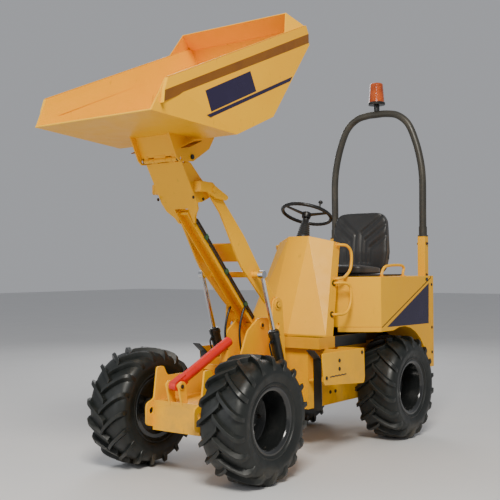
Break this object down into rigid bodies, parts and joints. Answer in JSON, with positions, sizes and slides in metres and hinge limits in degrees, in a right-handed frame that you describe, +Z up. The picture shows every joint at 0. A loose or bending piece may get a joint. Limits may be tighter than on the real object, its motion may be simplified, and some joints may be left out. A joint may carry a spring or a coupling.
{
  "type": "site dumper",
  "caption": "Articulated high-tip site dumper with a raised tipping skip on parallel lift arms, roll bar, operator's seat behind a console hood, and lugged wheels.",
  "frame": {"origin": "middle of the bottom of the whole machine's box, on the ground", "axes": "+Z up, the machine faces -Y, its left side is +X"},
  "size_m": [1.063, 2.8626, 2.5098],
  "materials": {
    "yellow_paint": "gloss paint, weathered",
    "black_paint": "semi-gloss black paint",
    "tyre_rubber": "lugged rubber",
    "red_paint": "gloss paint",
    "chrome_rod": "polished",
    "plain_steel": "dull",
    "roll_bar_paint": "satin dark grey paint",
    "seat_vinyl": "grained vinyl",
    "beacon_lens": "ribbed amber plastic"
  },
  "bodies": {
    "rear_frame": {"rear_chassis": "yellow_paint", "rear_axle": "plain_steel", "rear_body": "yellow_paint", "engine_cowl": "yellow_paint", "left_seat_rail": "yellow_paint", "right_seat_rail": "yellow_paint", "engine_block": "black_paint", "console_hood": "yellow_paint", "steering_column": "black_paint", "footplate": "black_paint", "left_step": "black_paint", "right_step": "black_paint", "left_guard": "black_paint", "right_guard": "black_paint", "left_hood_handle_upper": "yellow_paint", "left_hood_handle_lower": "yellow_paint", "right_hood_handle_upper": "yellow_paint", "right_hood_handle_lower": "yellow_paint", "left_roll_post": "yellow_paint", "right_roll_post": "yellow_paint"},
    "front_frame": {"front_chassis": "yellow_paint", "front_axle": "plain_steel"},
    "seat_lid": {"seat_lid": "black_paint", "seat_cushion": "seat_vinyl", "seat_back": "seat_vinyl"},
    "roll_bar": {"roll_hoop": "roll_bar_paint", "beacon": "beacon_lens"},
    "steering_wheel": {"steering_wheel": "black_paint"},
    "safety_prop": {"safety_prop": "red_paint"},
    "lift_arms": {"lift_arms": "yellow_paint"},
    "levelling_link": {"levelling_link": "yellow_paint"},
    "skip_carrier": {"skip_carrier": "yellow_paint", "tip_barrel": "black_paint"},
    "tip_rod": {"tip_rod": "chrome_rod"},
    "skip": {"skip": "yellow_paint"},
    "lift_barrels": {"left_lift_barrel": "black_paint", "right_lift_barrel": "black_paint"},
    "lift_rods": {"left_lift_rod": "chrome_rod", "right_lift_rod": "chrome_rod"},
    "front_left_wheel": {"front_left_tyre": "tyre_rubber", "front_left_rim": "black_paint"},
    "front_right_wheel": {"front_right_tyre": "tyre_rubber", "front_right_rim": "black_paint"},
    "rear_left_wheel": {"rear_left_tyre": "tyre_rubber", "rear_left_rim": "black_paint"},
    "rear_right_wheel": {"rear_right_tyre": "tyre_rubber", "rear_right_rim": "black_paint"}
  },
  "joints": [
    {"name": "front_left_wheel_spin", "type": "hinge", "parent": "front_frame", "child": "front_left_wheel", "pos_m": [0.395, -0.66905, 0.33], "axis": [1, 0, 0], "continuous": true},
    {"name": "front_right_wheel_spin", "type": "hinge", "parent": "front_frame", "child": "front_right_wheel", "pos_m": [-0.395, -0.66905, 0.33], "axis": [1, 0, 0], "continuous": true},
    {"name": "rear_left_wheel_spin", "type": "hinge", "parent": "rear_frame", "child": "rear_left_wheel", "pos_m": [0.395, 0.87695, 0.33], "axis": [1, 0, 0], "continuous": true},
    {"name": "rear_right_wheel_spin", "type": "hinge", "parent": "rear_frame", "child": "rear_right_wheel", "pos_m": [-0.395, 0.87695, 0.33], "axis": [1, 0, 0], "continuous": true},
    {"name": "articulation", "type": "hinge", "parent": "rear_frame", "child": "front_frame", "pos_m": [0, 0.02395, 0.4], "axis": [0, 0, 1], "range_deg": [-28, 28]},
    {"name": "lift", "type": "hinge", "parent": "front_frame", "child": "lift_arms", "pos_m": [0, -0.13905, 0.892], "axis": [-1, 0, 0], "range_deg": [-59.5, 0]},
    {"name": "link_pivot", "type": "hinge", "parent": "front_frame", "child": "levelling_link", "pos_m": [0, -0.16605, 0.772], "axis": [-1, 0, 0], "range_deg": [-59.5, 0]},
    {"name": "carrier_pivot", "type": "hinge", "parent": "lift_arms", "child": "skip_carrier", "pos_m": [0, -0.71605, 1.521], "axis": [-1, 0, 0], "range_deg": [0, 59.5]},
    {"name": "tip", "type": "hinge", "parent": "skip_carrier", "child": "skip", "pos_m": [0, -0.93705, 1.669], "axis": [1, 0, 0], "range_deg": [-23, 50]},
    {"name": "tip_rod_slide", "type": "slide", "parent": "skip_carrier", "child": "tip_rod", "axis": [0, -0.4583, 0.8888], "range_m": [-0.0325, 0.0705]},
    {"name": "barrel_pivot", "type": "hinge", "parent": "front_frame", "child": "lift_barrels", "pos_m": [0, -0.14605, 0.45], "axis": [-1, 0, 0], "range_deg": [-18, 0.5]},
    {"name": "lift_rod_slide", "type": "slide", "parent": "lift_barrels", "child": "lift_rods", "axis": [0, -0.3155, 0.9489], "range_m": [-0.2225, 0.001]},
    {"name": "prop_pivot", "type": "hinge", "parent": "front_frame", "child": "safety_prop", "pos_m": [0, -0.83605, 0.487], "axis": [1, 0, 0], "range_deg": [0, 67]},
    {"name": "seat_lid_hinge", "type": "hinge", "parent": "rear_frame", "child": "seat_lid", "pos_m": [0, 1.28445, 1.045], "axis": [-1, 0, 0], "range_deg": [0, 55]},
    {"name": "roll_bar_fold", "type": "hinge", "parent": "rear_frame", "child": "roll_bar", "pos_m": [0, 1.39525, 1.32], "axis": [-1, 0, 0], "range_deg": [0, 95]},
    {"name": "steering_wheel_spin", "type": "hinge", "parent": "rear_frame", "child": "steering_wheel", "pos_m": [0, 0.43395, 1.45], "axis": [0, 0.3746, 0.9272], "continuous": true}
  ],
  "couplings": [
    {"joint": "link_pivot", "follows": "lift", "ratio": 1},
    {"joint": "carrier_pivot", "follows": "lift", "ratio": -1},
    {"joint": "barrel_pivot", "follows": "lift", "ratio": 0.2958},
    {"joint": "lift_rod_slide", "follows": "lift", "m_per_rad": 0.2136},
    {"joint": "tip_rod_slide", "follows": "tip", "m_per_rad": 0.08}
  ]
}
